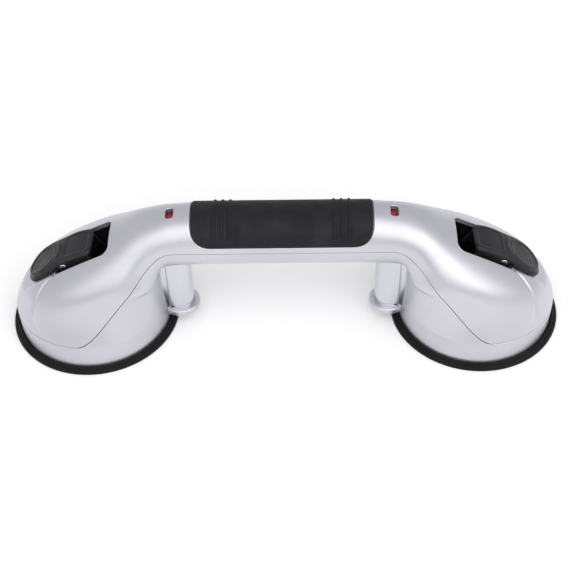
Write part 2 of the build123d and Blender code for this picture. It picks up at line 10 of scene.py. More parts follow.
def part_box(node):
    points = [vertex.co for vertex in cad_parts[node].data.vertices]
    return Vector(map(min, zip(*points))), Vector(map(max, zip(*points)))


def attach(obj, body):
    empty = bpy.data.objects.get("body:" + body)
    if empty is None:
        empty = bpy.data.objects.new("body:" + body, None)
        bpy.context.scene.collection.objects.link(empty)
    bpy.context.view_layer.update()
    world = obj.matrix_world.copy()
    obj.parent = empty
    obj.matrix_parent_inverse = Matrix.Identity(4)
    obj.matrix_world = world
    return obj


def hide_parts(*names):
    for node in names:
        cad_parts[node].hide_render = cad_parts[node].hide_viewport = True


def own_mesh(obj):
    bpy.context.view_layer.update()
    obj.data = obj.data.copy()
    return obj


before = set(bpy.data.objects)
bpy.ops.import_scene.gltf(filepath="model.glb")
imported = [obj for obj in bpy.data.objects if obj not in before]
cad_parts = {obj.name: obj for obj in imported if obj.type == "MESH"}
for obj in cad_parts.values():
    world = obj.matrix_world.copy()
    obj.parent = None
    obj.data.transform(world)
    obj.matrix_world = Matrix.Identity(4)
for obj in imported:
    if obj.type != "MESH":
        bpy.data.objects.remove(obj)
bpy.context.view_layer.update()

# Lengths below are in millimetres until a mesh is made. X runs along the bar, Z stands out from the wall.
# One-sided pieces are built at X > 0 and mirrored.
MM = 0.001


def middle(node):
    """Centre of a CAD node's box, mm."""
    low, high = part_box(node)
    return (low + high) / 2 / MM


CUP_X = middle("right_pressure_plate").x
COLLAR_R = 10.4
POST_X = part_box("right_foot_collar")[0].x / MM + COLLAR_R
PLUNGER_X = middle("right_indicator_plunger").x
WINDOW_X = middle("right_window_lens").x
HINGE_X = middle("right_lever_pin").x
HINGE_Z = middle("right_lever_pin").z

# ---------------------------------------------------------------- surfaces and their cutting

# Share of an edge within which a corner is moved onto the cut.
SLIVER = 0.28


def cubic(knots, values, slopes=None):
    """Cubic spline through values at knots, with free ends, or with the two end slopes given."""
    knots = np.asarray(knots, float)
    values = np.asarray(values, float).reshape(len(knots), -1)
    step = np.diff(knots)
    rise = np.diff(values, axis=0) / step[:, None]
    last = len(knots) - 1
    matrix = np.zeros((last + 1, last + 1))
    right = np.zeros(values.shape)
    for i in range(1, last):
        matrix[i, i - 1 : i + 2] = (step[i], 2 * (step[i - 1] + step[i]), step[i - 1])
        right[i] = 3 * (step[i] * rise[i - 1] + step[i - 1] * rise[i])
    if slopes is None:
        matrix[0, :2] = (2, 1)
        matrix[last, last - 1 :] = (1, 2)
        right[0], right[last] = 3 * rise[0], 3 * rise[-1]
    else:
        matrix[0, 0] = matrix[last, last] = 1
        right[0], right[last] = slopes
    slope = np.linalg.solve(matrix, right)

    def at(where):
        i = np.clip(np.searchsorted(knots, where) - 1, 0, last - 1)
        h = step[i][:, None]
        t = ((where - knots[i]) / step[i])[:, None]
        a, b = values[i], values[i + 1]
        return (
            a * (1 + 2 * t) * (1 - t) ** 2
            + b * t**2 * (3 - 2 * t)
            + h * slope[i] * t * (1 - t) ** 2
            + h * slope[i + 1] * t**2 * (t - 1)
        )

    return at


def ease(value, start, end):
    """0 before start, 1 after end, smooth between them."""
    t = np.clip((value - start) / (end - start), 0, 1)
    return t * t * (3 - 2 * t)


def unit(v):
    return v / np.maximum(np.linalg.norm(v, axis=-1, keepdims=True), 1e-12)


def normals_of(surface, spots, step):
    """Outward normals of surface at the parameter pairs in spots, by small steps each way."""
    du, dv = np.array([step[0], 0.0]), np.array([0.0, step[1]])
    along = surface(spots + du) - surface(spots - du)
    across = surface(spots + dv) - surface(spots - dv)
    return unit(np.cross(across, along))


def clip(surface, spots, faces, field, period):
    """Cuts the faces along field = 0 on the surface and keeps its positive side."""
    value = field(surface(spots))
    edges = {}
    for face in faces:
        for a, b in zip(face, face[1:] + face[:1]):
            if value[a] * value[b] < 0:
                edges[min(a, b), max(a, b)] = None
    if not edges:
        return spots, [f for f in faces if value[f[0]] >= 0 or value[f[1]] >= 0 or value[f[2]] >= 0]
    pairs = np.array(list(edges))
    start, move = spots[pairs[:, 0]], spots[pairs[:, 1]] - spots[pairs[:, 0]]
    if period:
        move[:, 1] = (move[:, 1] + period / 2) % period - period / 2
    low, high = np.zeros(len(pairs)), np.ones(len(pairs))
    first = value[pairs[:, 0]]
    for _ in range(16):
        share = (low + high) / 2
        same = field(surface(start + move * share[:, None])) * first > 0
        low, high = np.where(same, share, low), np.where(same, high, share)
    share = (low + high) / 2
    place = start + move * share[:, None]
    # A corner that lies close to the cut is moved onto it, so that no sliver is left.
    spots = spots.copy()
    for end, near in ((0, share), (1, 1 - share)):
        for k in np.argsort(near):
            corner = pairs[k, end]
            if near[k] < SLIVER and value[corner] != 0:
                spots[corner] = place[k]
                value[corner] = 0
    extra, new = [], {}
    for k, (a, b) in enumerate(pairs):
        if value[a] * value[b] < 0:
            new[a, b] = len(spots) + len(extra)
            extra.append(place[k])
    kept = []
    for face in faces:
        if all(value[i] >= 0 for i in face):
            if any(value[i] > 0 for i in face):
                kept.append(face)
            continue
        out = []
        for a, b in zip(face, face[1:] + face[:1]):
            if value[a] >= 0:
                out.append(a)
            if value[a] * value[b] < 0:
                out.append(new[min(a, b), max(a, b)])
        if len(out) > 2 and any(i >= len(spots) or value[i] > 0 for i in out):
            kept.append(out)
    return (np.vstack([spots, extra]) if extra else spots), kept


def used_only(points, faces, *others):
    """The mesh without the points that no face uses."""
    used = sorted({i for f in faces for i in f})
    place = {old: k for k, old in enumerate(used)}
    return [points[used], [[place[i] for i in f] for f in faces], *[o[used] for o in others]]


def with_mirror(points, faces, normals):
    """The mesh and its mirror image about X = 0, joined where they meet."""
    count = len(points)
    on = np.abs(points[:, 0]) < 1e-6
    twin = np.where(on, np.arange(count), np.cumsum(~on) - 1 + count)
    flip = np.array([-1, 1, 1])
    return (
        np.vstack([points, points[~on] * flip]),
        faces + [[int(twin[i]) for i in reversed(f)] for f in faces],
        np.vstack([normals, normals[~on] * flip]),
    )


def loops_of(faces):
    """The open edges as closed loops of point numbers, with the faces on their left."""
    edges = {(a, b) for f in faces for a, b in zip(f, f[1:] + f[:1])}
    after = {}
    for a, b in edges:
        if (b, a) not in edges:
            after.setdefault(a, []).append(b)
    loops = []
    while after:
        start = next(iter(after))
        loop, here = [], start
        while here in after:
            loop.append(here)
            onward = after[here].pop()
            if not after[here]:
                del after[here]
            here = onward
        if len(loop) > 2:
            loops.append(loop)
    return loops


def thicken(points, faces, normals, depth, lip, steps=4, back=None):
    """Closes a skin: a rounded lip of radius lip(points) round every open edge, a rim and a back, which
    is depth below the skin or back(points, normals)."""
    count = len(points)
    behind = points - normals * depth if back is None else back(points, normals)
    all_points = [points, behind]
    all_normals = [normals, -normals]
    all_faces = list(faces) + [[i + count for i in reversed(f)] for f in faces]
    total = 2 * count
    for loop in loops_of(faces):
        p, n, r = points[loop], normals[loop], lip(points[loop])
        tangent = unit(unit(np.roll(p, -1, 0) - p) + unit(p - np.roll(p, 1, 0)))
        outward = unit(np.cross(tangent, n))
        rows = [np.array(loop)]
        for k in range(1, steps + 1):
            turn = pi / 2 * k / steps
            all_points.append(p + outward * r * sin(turn) - n * r * (1 - cos(turn)))
            all_normals.append(unit(n * cos(turn) + outward * sin(turn)))
            rows.append(total + np.arange(len(loop)))
            total += len(loop)
        all_points.append(behind[loop] + outward * r)
        all_normals.append(outward)
        rows.append(total + np.arange(len(loop)))
        total += len(loop)
        rows.append(np.array(loop) + count)
        for upper, lower in zip(rows, rows[1:]):
            for a, b, c, d in zip(upper, np.roll(upper, -1), np.roll(lower, -1), lower):
                all_faces.append([int(b), int(a), int(d), int(c)])
    return np.vstack(all_points), all_faces, np.vstack(all_normals)


def cut_skin(surface, grid, closed, fields, step, mirrored=False):
    """Points, faces and normals of the part of surface where every field is positive. grid is rows of
    parameter pairs."""
    rows, columns = grid.shape[:2]
    spots = grid.reshape(-1, 2)
    faces = []
    for i in range(rows - 1):
        for j in range(columns if closed else columns - 1):
            k = (j + 1) % columns
            faces.append([i * columns + j, i * columns + k, (i + 1) * columns + k, (i + 1) * columns + j])
    for field in fields:
        spots, faces = clip(surface, spots, faces, field, 2 * pi if closed else 0)
        spots, faces = used_only(spots, faces)
    points = surface(spots)
    normals = normals_of(surface, spots, step)
    if mirrored:
        points, faces, normals = with_mirror(points, faces, normals)
    return points, faces, normals


# ---------------------------------------------------------------- making pieces

SHARP = 35


def add_piece(name, points, faces, normals, body, material, finish, nodes=()):
    """A Blender mesh from millimetres, riding on its CAD body. Without normals, edges over SHARP degrees
    are sharp."""
    mesh = bpy.data.meshes.new(name)
    mesh.from_pydata((np.asarray(points, float) * MM).tolist(), [], [list(map(int, f)) for f in faces])
    mesh.polygons.foreach_set("use_smooth", [True] * len(mesh.polygons))
    if normals is None:
        mesh.set_sharp_from_angle(angle=radians(SHARP))
    else:
        mesh.normals_split_custom_set_from_vertices(np.asarray(normals).tolist())
    mesh.materials.append(material)
    piece = bpy.data.objects.new(name, mesh)
    bpy.context.scene.collection.objects.link(piece)
    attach(piece, body)
    if nodes:
        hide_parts(*nodes)
    return piece


def mirrored_mesh(points, faces, normals):
    flip = np.array([-1, 1, 1])
    turned = None if normals is None else np.asarray(normals) * flip
    return np.asarray(points) * flip, [list(reversed(f)) for f in faces], turned


def add_pair(name, mesh, body, material, finish, node):
    """The piece on both ends of the bar. body and node are given without left_ or right_."""
    made = []
    for side, shape in (("right_", mesh), ("left_", mirrored_mesh(*mesh))):
        on = body if body == "root" else side + body
        nodes = [node] if node == "lower_shell" else [side + node] if node else []
        made.append(add_piece(side + name, *shape, on, material, finish, nodes))
    return made


def lathe(profile, axis_x, turns=96, closed=True):
    """A turned shape about the vertical line at axis_x. profile is (radius, z), from inside to outside
    over the top."""
    profile = [tuple(p) for p in profile]
    points, rings = [], []
    for r, z in profile:
        if r < 1e-6:
            rings.append([len(points)])
            points.append((axis_x, 0, z))
            continue
        rings.append(list(range(len(points), len(points) + turns)))
        for k in range(turns):
            turn = 2 * pi * k / turns
            points.append((axis_x + r * cos(turn), r * sin(turn), z))
    faces = []
    pairs = list(zip(rings, rings[1:] + rings[:1])) if closed else list(zip(rings, rings[1:]))
    for upper, lower in pairs:
        for k in range(turns):
            n = (k + 1) % turns
            if len(upper) == 1 and len(lower) == 1:
                break
            if len(upper) == 1:
                faces.append([upper[0], lower[k], lower[n]])
            elif len(lower) == 1:
                faces.append([upper[k], lower[0], upper[n]])
            else:
                faces.append([upper[k], lower[k], lower[n], upper[n]])
    return np.array(points), faces, None


# ---------------------------------------------------------------- materials


class Shader:
    """A Principled material with a few helpers for procedural detail in object space."""

    def __init__(self, name, colour, roughness, **sockets):
        self.material = bpy.data.materials.new(name)
        self.material.use_nodes = True
        self.nodes = self.material.node_tree.nodes
        self.links = self.material.node_tree.links
        self.main = self.nodes["Principled BSDF"]
        self.main.inputs["Base Color"].default_value = (*colour, 1)
        self.main.inputs["Roughness"].default_value = roughness
        for socket, value in sockets.items():
            self.main.inputs[socket.replace("_", " ")].default_value = value
        self.place = self.nodes.new("ShaderNodeTexCoord").outputs["Object"]

    def noise(self, scale, detail=2, stretch=(1, 1, 1)):
        mapping = self.nodes.new("ShaderNodeMapping")
        mapping.inputs["Scale"].default_value = stretch
        texture = self.nodes.new("ShaderNodeTexNoise")
        texture.inputs["Scale"].default_value = scale
        texture.inputs["Detail"].default_value = detail
        self.links.new(self.place, mapping.inputs["Vector"])
        self.links.new(mapping.outputs["Vector"], texture.inputs["Vector"])
        return texture.outputs["Fac"]

    def cells(self, scale):
        texture = self.nodes.new("ShaderNodeTexVoronoi")
        texture.inputs["Scale"].default_value = scale
        self.links.new(self.place, texture.inputs["Vector"])
        return texture.outputs["Distance"]

    def vary_colour(self, factor, dark, light, low=0.3, high=0.7):
        ramp = self.nodes.new("ShaderNodeValToRGB")
        ramp.color_ramp.elements[0].position = low
        ramp.color_ramp.elements[1].position = high
        ramp.color_ramp.elements[0].color = (*dark, 1)
        ramp.color_ramp.elements[1].color = (*light, 1)
        self.links.new(factor, ramp.inputs["Fac"])
        self.links.new(ramp.outputs["Color"], self.main.inputs["Base Color"])
        return self

    def vary_roughness(self, factor, low, high):
        spread = self.nodes.new("ShaderNodeMapRange")
        spread.inputs["From Min"].default_value = 0.3
        spread.inputs["From Max"].default_value = 0.7
        spread.inputs["To Min"].default_value = low
        spread.inputs["To Max"].default_value = high
        self.links.new(factor, spread.inputs["Value"])
        self.links.new(spread.outputs["Result"], self.main.inputs["Roughness"])
        return self

    def bump(self, factor, height, strength=1.0):
        relief = self.nodes.new("ShaderNodeBump")
        relief.inputs["Distance"].default_value = height
        relief.inputs["Strength"].default_value = strength
        self.links.new(factor, relief.inputs["Height"])
        if self.main.inputs["Normal"].is_linked:
            self.links.new(self.main.inputs["Normal"].links[0].from_socket, relief.inputs["Normal"])
        self.links.new(relief.outputs["Normal"], self.main.inputs["Normal"])
        return self


def chrome_plate():
    shader = Shader("chrome_plate", (0.64, 0.635, 0.685), 0.3, Metallic=0.9)
    shader.vary_colour(shader.noise(22, 3), (0.6, 0.595, 0.64), (0.65, 0.645, 0.69))
    shader.vary_roughness(shader.noise(35, 4), 0.35, 0.43)
    shader.bump(shader.noise(45, 1), 0.00002)
    return shader.material


def chrome_bright():
    shader = Shader("chrome_bright", (0.66, 0.67, 0.7), 0.18, Metallic=0.95)
    shader.vary_colour(shader.noise(30, 3), (0.62, 0.63, 0.66), (0.68, 0.69, 0.72))
    shader.vary_roughness(shader.noise(50, 4), 0.15, 0.22)
    shader.bump(shader.noise(80, 1), 0.00001)
    return shader.material


def grip_rubber():
    shader = Shader("grip_rubber", (0.012, 0.011, 0.014), 0.62, Specular_IOR_Level=0.22)
    shader.vary_colour(shader.noise(90, 4), (0.009, 0.0085, 0.011), (0.018, 0.0165, 0.021))
    shader.vary_roughness(shader.noise(160, 3), 0.55, 0.72)
    shader.bump(shader.cells(1500), 0.00005, 0.6)
    return shader.material


def cup_rubber():
    shader = Shader("cup_rubber", (0.006, 0.0055, 0.006), 0.5, Specular_IOR_Level=0.16)
    shader.vary_colour(shader.noise(60, 5), (0.0045, 0.0042, 0.0045), (0.009, 0.0083, 0.009))
    shader.vary_roughness(shader.noise(40, 4), 0.42, 0.62)
    shader.bump(shader.noise(900, 3), 0.00003, 0.5)
    return shader.material


def lever_plastic():
    shader = Shader("lever_plastic", (0.012, 0.011, 0.014), 0.42, Specular_IOR_Level=0.36)
    shader.vary_colour(shader.noise(70, 4), (0.009, 0.0085, 0.0105), (0.018, 0.0165, 0.02))
    shader.vary_roughness(shader.noise(120, 4), 0.36, 0.5)
    shader.bump(shader.noise(2200, 2), 0.00003, 0.5)
    return shader.material


def frame_plastic():
    shader = Shader("frame_plastic", (0.006, 0.006, 0.007), 0.6, Specular_IOR_Level=0.25)
    shader.vary_colour(shader.noise(80, 3), (0.004, 0.004, 0.005), (0.009, 0.009, 0.01))
    shader.vary_roughness(shader.noise(150, 3), 0.5, 0.7)
    shader.bump(shader.noise(1500, 2), 0.00003, 0.5)
    return shader.material


def steel():
    shader = Shader("steel", (0.62, 0.62, 0.63), 0.25, Metallic=1.0)
    shader.vary_colour(shader.noise(200, 4), (0.5, 0.5, 0.52), (0.7, 0.7, 0.71))
    shader.vary_roughness(shader.noise(900, 4, (1, 1, 12)), 0.16, 0.36)
    shader.bump(shader.noise(2500, 2, (1, 1, 10)), 0.00001, 0.5)
    return shader.material


def zinc_screw():
    shader = Shader("zinc_screw", (0.55, 0.55, 0.52), 0.35, Metallic=1.0)
    shader.vary_colour(shader.noise(500, 4), (0.42, 0.42, 0.4), (0.64, 0.64, 0.6))
    shader.vary_roughness(shader.noise(700, 3), 0.28, 0.46)
    shader.bump(shader.noise(1800, 3), 0.00002, 0.6)
    return shader.material


def white_acetal():
    shader = Shader("white_acetal", (0.75, 0.74, 0.7), 0.4)
    shader.vary_colour(shader.noise(120, 3), (0.7, 0.69, 0.65), (0.8, 0.79, 0.76))
    shader.vary_roughness(shader.noise(300, 3), 0.32, 0.48)
    shader.bump(shader.noise(1500, 2), 0.00002, 0.5)
    return shader.material


def lens_clear():
    shader = Shader("lens_clear", (0.97, 0.94, 0.95), 0.03, IOR=1.15, Transmission_Weight=1.0)
    shader.vary_colour(shader.noise(150, 3), (0.93, 0.9, 0.91), (0.99, 0.97, 0.98))
    shader.vary_roughness(shader.noise(400, 4), 0.01, 0.07)
    shader.bump(shader.noise(500, 2), 0.00001, 0.4)
    return shader.material


# Distance from the flag's pin, towards the middle of the bar, at which red turns to green.
FLAG_SPLIT = 2.2


def flag_red(split_x, side):
    """Red on the part of the flag's rim that faces the window at rest, green on the part that turns up
    to it."""
    shader = Shader("flag_" + side, (0.5, 0.02, 0.04), 0.4)
    shader.vary_colour(shader.noise(260, 3), (0.36, 0.008, 0.022), (0.6, 0.03, 0.06))
    red = shader.main.inputs["Base Color"].links[0].from_socket
    split = shader.nodes.new("ShaderNodeSeparateXYZ")
    shader.links.new(shader.place, split.inputs["Vector"])
    over = shader.nodes.new("ShaderNodeMath")
    over.operation = "LESS_THAN" if side == "right" else "GREATER_THAN"
    over.inputs[1].default_value = split_x
    shader.links.new(split.outputs["X"], over.inputs[0])
    both = shader.nodes.new("ShaderNodeMix")
    both.data_type = "RGBA"
    both.inputs["B"].default_value = (0.02, 0.3, 0.06, 1)
    shader.links.new(over.outputs["Value"], both.inputs["Factor"])
    shader.links.new(red, both.inputs["A"])
    shader.links.new(both.outputs["Result"], shader.main.inputs["Base Color"])
    shader.vary_roughness(shader.noise(350, 3), 0.32, 0.5)
    shader.bump(shader.noise(1800, 2), 0.00002, 0.5)
    return shader.material


CHROME, CHROME_BRIGHT = chrome_plate(), chrome_bright()
GRIP, CUP, LEVER = grip_rubber(), cup_rubber(), lever_plastic()
FRAME, STEEL, ZINC, ACETAL, LENS = frame_plastic(), steel(), zinc_screw(), white_acetal(), lens_clear()


def dress(node, material):
    """Gives a CAD node its material."""
    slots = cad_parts[node].material_slots
    if not slots:
        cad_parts[node].data.materials.append(material)
    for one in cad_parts[node].material_slots:
        one.material = material


for side in ("right", "left"):
    for node, material in (
        ("foot_collar", CHROME),
        ("lever_frame", FRAME),
        ("lever_pin", STEEL),
        ("cam_pin", STEEL),
        ("cup_stud", STEEL),
        ("pressure_plate", STEEL),
        ("flag_pin", STEEL),
        ("frame_screws", ZINC),
        ("indicator_plunger", ACETAL),
        ("window_lens", LENS),
    ):
        dress(f"{side}_{node}", material)
    inward = -FLAG_SPLIT if side == "right" else FLAG_SPLIT
    split_x = (middle(f"{side}_flag_pin").x + inward) * MM
    dress(f"{side}_indicator_flag", flag_red(split_x, side))
dress("shell_screws", ZINC)

# ---------------------------------------------------------------- housing

BAR_R, BAR_Z, WALL = 16.5, 61.0, 2.5
BEND_X, BEND_Z = 62.0, 38.0
# Turn from upright in degrees, inner radius, outer radius, half width, fullness of the inner half.
BEND = (
    (0, 7.0, 37.1, 16.9, 0.06),
    (22.5, 6.6, 35.3, 19.0, 0.13),
    (45, 6.0, 36.3, 23.2, 0.16),
    (67.5, 5.0, 44.6, 28.0, 0.14),
    (90, 4.0, 70.3, 31.4, 0.1),
)
# Level sections of the dome: Z, inner X, outer X, half width, fullness.
DOME = ((24, 65.8, 145.3, 35.2, 0.05), (14.5, 65.0, 148.6, 40.2, 0))
SKIRT_TOP, SKIRT_BOTTOM, SKIRT_R = 14.5, 2.6, 42.3
PARTING = ((58, BAR_Z), (68, 55.5), (80, 43.2), (95, 25), (104, 17), (112, SKIRT_TOP))
OPENING_IN, OPENING_OUT, OPENING_HALF, OPENING_CORNER = 91.5, 121.5, 12.4, 4.0
SCOOP_TOP, SCOOP_END = np.array((119, 0, 43.1)), np.array((146.5, 0, 23.1))
# Edge of the scooped channel round the lever's tip: height on the dome and distance from the middle.
CHANNEL_EDGE = (
    (14.5, 42),
    (17.4, 32.4),
    (21.6, 25.8),
    (27.8, 21.7),
    (35.4, 17.3),
    (40.5, 13.6),
    (44, 12.7),
    (60, 12.3),
)
CHANNEL_DEPTH, GROOVE_DEPTH, GROOVE_IN, GROOVE_HALF = 0.8, 0.7, 0.7, 0.62
# Half widths between which the bed under the lever's tip rises to the channel.
BED_IN, BED_OUT = 8.0, 11.2
# Spans of X and of Z over which the channel, the whole scoop and the groove along its edge come in.
CHANNEL_X, CHANNEL_Z = (121, 124), (15.5, 24)
SCOOP_X, SCOOP_Z = (120.4, 121.6), (15, 17)
GROOVE_X, GROOVE_LOW, GROOVE_HIGH = (122, 125), (21, 27), (-43, -39)
# The channel's edge is EDGE_SOFT wide at the top and EDGE_SOFTER more lower down.
EDGE_SOFT, EDGE_SOFTER, EDGE_SPAN = 0.45, 1.1, (CHANNEL_EDGE[0][0], CHANNEL_EDGE[-1][0])

# Each section: X, Z, turn, half depth, half width, fullness.
sections = [(x, BAR_Z, 0, BAR_R, BAR_R, 0) for x in (0, 8, 20, 32, 44)]
sections.append((54, 60.4, 0, 15.9, BAR_R, 0.02))
for turn, inner, outer, width, full in BEND:
    reach, lean = (inner + outer) / 2, radians(turn)
    place = (BEND_X + reach * sin(lean), BEND_Z + reach * cos(lean))
    sections.append((*place, turn, (outer - inner) / 2, width, full))
for z, inner, outer, width, full in DOME:
    sections.append(((inner + outer) / 2, z, 90, (outer - inner) / 2, width, full))

columns = np.array([(x, z, w, d * sin(radians(t)), d * cos(radians(t)), f) for x, z, t, d, w, f in sections])


def ovals(values, turn):
    """Points on the ovals whose values are centre X and Z, half width, half depth along X and Z, and
    fullness."""
    x, z, width, lean_x, lean_z, full = values.T
    grow = 1 + np.where(np.sin(turn) < 0, full, 0) * np.sin(2 * turn) ** 2
    c, s = np.cos(turn) * grow, np.sin(turn) * grow
    return np.stack([x + lean_x * s, width * c, z + lean_z * s], axis=1)


ring_turns = np.linspace(0, 2 * pi, 32, endpoint=False)
rings = np.array([ovals(columns, turn) for turn in ring_turns]).transpose(1, 0, 2)
gaps = np.linalg.norm(np.diff(rings, axis=0), axis=2).mean(axis=1)
stations = np.concatenate([[0], np.cumsum(gaps)])
RIM_AT = stations[-1]
SKIRT_H = SKIRT_TOP - SKIRT_BOTTOM
END_AT = RIM_AT + SKIRT_H
skin_curve = cubic(stations, columns)
scoop_along = unit(SCOOP_END - SCOOP_TOP)
scoop_up = np.array((-scoop_along[2], 0, scoop_along[0]))
channel_edge = cubic([z for z, _ in CHANNEL_EDGE], [y for _, y in CHANNEL_EDGE])


def plain_housing(spots):
    """Housing without its scoop. Parameters: distance along the housing and turn round it, 90 degrees on
    top."""
    along, turn = spots[:, 0], spots[:, 1]
    points = ovals(skin_curve(np.minimum(along, RIM_AT)), turn)
    c, s = np.cos(turn), np.sin(turn)
    down = np.maximum(along - RIM_AT, 0)[:, None] / SKIRT_H
    foot = np.stack([CUP_X + SKIRT_R * s, SKIRT_R * c, np.full(len(s), SKIRT_BOTTOM)], axis=1)
    return points + (foot - points) * np.hstack([down**2, down**2, down])


def housing(spots):
    """Housing with the scooped channel that the lever's tip lies in."""
    points = plain_housing(spots)
    x, y, z = points.T
    above = (points - SCOOP_TOP) @ scoop_up
    shallow = CHANNEL_DEPTH * ease(z, *CHANNEL_Z) * ease(x, *CHANNEL_X)
    bed = np.maximum(np.logaddexp(above * 3, shallow * 3) / 3 - shallow, 0)
    depth = shallow + bed * ease(-np.abs(y), -BED_OUT, -BED_IN)
    inside = channel_edge(np.clip(z, *EDGE_SPAN)).ravel() - np.abs(y)
    soft = EDGE_SOFT + EDGE_SOFTER * ease(-z, -34, -22)
    depth = depth * ease(inside, -soft, soft) * ease(x, *SCOOP_X) * ease(z, *SCOOP_Z)
    groove = np.exp(-(((inside - GROOVE_IN) / GROOVE_HALF) ** 2)) * ease(z, *GROOVE_LOW)
    groove = groove * ease(-z, *GROOVE_HIGH) * ease(x, *GROOVE_X)
    return points - scoop_up * (depth + GROOVE_DEPTH * groove)[:, None]


def parting_height(x):
    known = cubic([p[0] for p in PARTING], [p[1] for p in PARTING], (0, 0))
    return known(np.clip(np.abs(x), PARTING[0][0], PARTING[-1][0])).ravel()


def above_parting(points):
    """Distance above the parting line, in side view."""
    x, z = points[:, 0], points[:, 2]
    small = 0.05
    slope = (parting_height(x + small) - parting_height(x - small)) / (2 * small)
    return (z - parting_height(x)) / np.sqrt(1 + slope**2)


def rounded_box(across, up, half_across, half_up, corner):
    """Signed distance to a rounded rectangle about 0, positive outside."""
    dx = np.abs(across) - half_across + corner
    dy = np.abs(up) - half_up + corner
    return np.hypot(np.maximum(dx, 0), np.maximum(dy, 0)) + np.minimum(np.maximum(dx, dy), 0) - corner


def outside_opening(points):
    """Positive outside the lever opening, in plan: round corners inward, square ones where it meets the
    channel."""
    middle_x, half = (OPENING_IN + OPENING_OUT) / 2, (OPENING_OUT - OPENING_IN) / 2
    x, y, z = points.T
    inner = rounded_box(x - middle_x - 10, y, half + 10, OPENING_HALF, OPENING_CORNER)
    return np.where(z > 20, np.maximum(inner, x - OPENING_OUT), FAR)


WINDOW_HALF_X, WINDOW_HALF_Y, WINDOW_CORNER = 2.1, 3.85, 1.4
# Value of a cutting field where its cut does not apply.
FAR = 10.0


def outside_window(points):
    x, y, z = points.T
    outside = rounded_box(x - WINDOW_X, y, WINDOW_HALF_X, WINDOW_HALF_Y, WINDOW_CORNER)
    return np.where(z > BAR_Z, outside, FAR)


PAD_HALF, PAD_FOOT, PAD_CORNER, PAD_GAP, PAD_R = 47.0, 65.1, 10.0, 0.35, 16.8


def outside_pad(points):
    """Distance outside the grip pad's outline, in side view."""
    x, _, z = points.T
    return rounded_box(x, z - PAD_FOOT - 50, PAD_HALF, 50, PAD_CORNER)


SCREW_X, SCREW_HOLE_R = 25.0, 3.1


def screw_hole(points):
    x, y, z = points.T
    return np.where(z < 50, np.hypot(x - SCREW_X, y) - SCREW_HOLE_R, FAR)


def spread(start, end, step):
    """Even steps from start up to, and not including, end."""
    return list(np.linspace(start, end, max(2, round((end - start) / step) + 1)))[:-1]


EDGE_BAND, TOP_REACH, SIDE_STEPS, CROSSING_LIMIT = 1.6, 30.0, 34, 25.0
crest = np.array([(u, pi / 2) for u in np.linspace(0, RIM_AT, 400)])
channel_start = float(np.interp(117, plain_housing(crest)[:, 0], crest[:, 0]))


def channel_crossing(along):
    """Distance from the middle at which a row of the grid crosses the edge of the opening or of the
    channel."""
    if along < channel_start:
        return OPENING_HALF
    turns = np.linspace(pi / 2, 0.1, 160)
    points = plain_housing(np.column_stack([np.full(160, min(along, RIM_AT)), turns]))
    beyond = points[:, 1] - channel_edge(np.clip(points[:, 2], *EDGE_SPAN)).ravel()
    after = max(1, int(np.argmax(beyond > 0)))
    share = beyond[after - 1] / (beyond[after - 1] - beyond[after])
    return min(CROSSING_LIMIT, points[after - 1, 1] + share * (points[after, 1] - points[after - 1, 1]))


def housing_grid(rows, across):
    """Rows of parameters. Over the top the columns follow the sides of the opening and of the channel,
    and are squeezed together where the housing is narrow. Below, they fan out evenly."""
    across = np.array(across)
    grid = []
    for along in rows:
        width = skin_curve(np.array([min(along, RIM_AT)]))[0, 2]
        reach = min(TOP_REACH, 0.93 * width)
        least = max(reach, 22.0)
        edge = channel_crossing(along)
        known = (0, OPENING_HALF - EDGE_BAND, OPENING_HALF + EDGE_BAND, TOP_REACH)
        placed = (0, edge - EDGE_BAND, edge + EDGE_BAND, max(least, edge + 3))
        y = np.interp(np.abs(across), known, placed) * np.sign(across) * min(1, reach / least)
        over = np.arccos(y / width)
        rise = np.linspace(-pi / 2, over[0], SIDE_STEPS + 1)[:-1]
        fall = np.linspace(over[-1], 3 * pi / 2, SIDE_STEPS + 1)[1:-1]
        grid.append([(along, turn) for turn in (*rise, *over, *fall)])
    return np.array(grid)


rows = spread(0, stations[5], 2.0) + spread(stations[5], channel_start, 1.1)
rows += spread(channel_start, RIM_AT - 2, 0.7)
rows += [RIM_AT + d for d in (-2, -1.3, -0.8, -0.4, 0, 0.4, 0.8)]
rows += spread(RIM_AT + 1.6, END_AT, 1.6) + [END_AT]
steps_off = (-1.6, -1.3, -1, -0.7, -0.45, -0.2, 0, 0.2, 0.45, 0.75, 1.15, 1.6)
one_side = spread(0.7, 6.0, 0.9) + spread(6.0, 10.5, 0.42) + [OPENING_HALF + d for d in steps_off]
one_side += spread(14.9, TOP_REACH, 1.1) + [TOP_REACH]
grid = housing_grid(rows, one_side[::-1] + [0.0] + [-y for y in one_side])

LIP, WIDE_LIP, SEAM = 0.28, 0.45, 0.25


def upper_lip(points):
    """Lip radius: fine along the parting line, wider at the openings."""
    return np.where(np.abs(above_parting(points)) < 1, LIP, WIDE_LIP)[:, None]


upper = cut_skin(
    housing,
    grid,
    True,
    (
        lambda p: above_parting(p) - SEAM - LIP,
        lambda p: outside_pad(p) - PAD_GAP - WIDE_LIP,
        lambda p: outside_opening(p) - WIDE_LIP,
        lambda p: outside_window(p) - WIDE_LIP,
    ),
    (0.02, 0.001),
    mirrored=True,
)
upper = thicken(*upper, WALL, upper_lip)
add_piece("upper_shell_skin", *upper, "root", CHROME, "chrome_plate", ["upper_shell"])

lower = cut_skin(
    housing,
    grid,
    True,
    (lambda p: -above_parting(p) - LIP, lambda p: screw_hole(p) - LIP),
    (0.02, 0.001),
    mirrored=True,
)


# Where the inner bend is tight: a span of Z at each end of it, and of X beyond it.
TIGHT_LOW, TIGHT_HIGH, TIGHT_X = (33, 36), (-45, -42), (-72, -69)


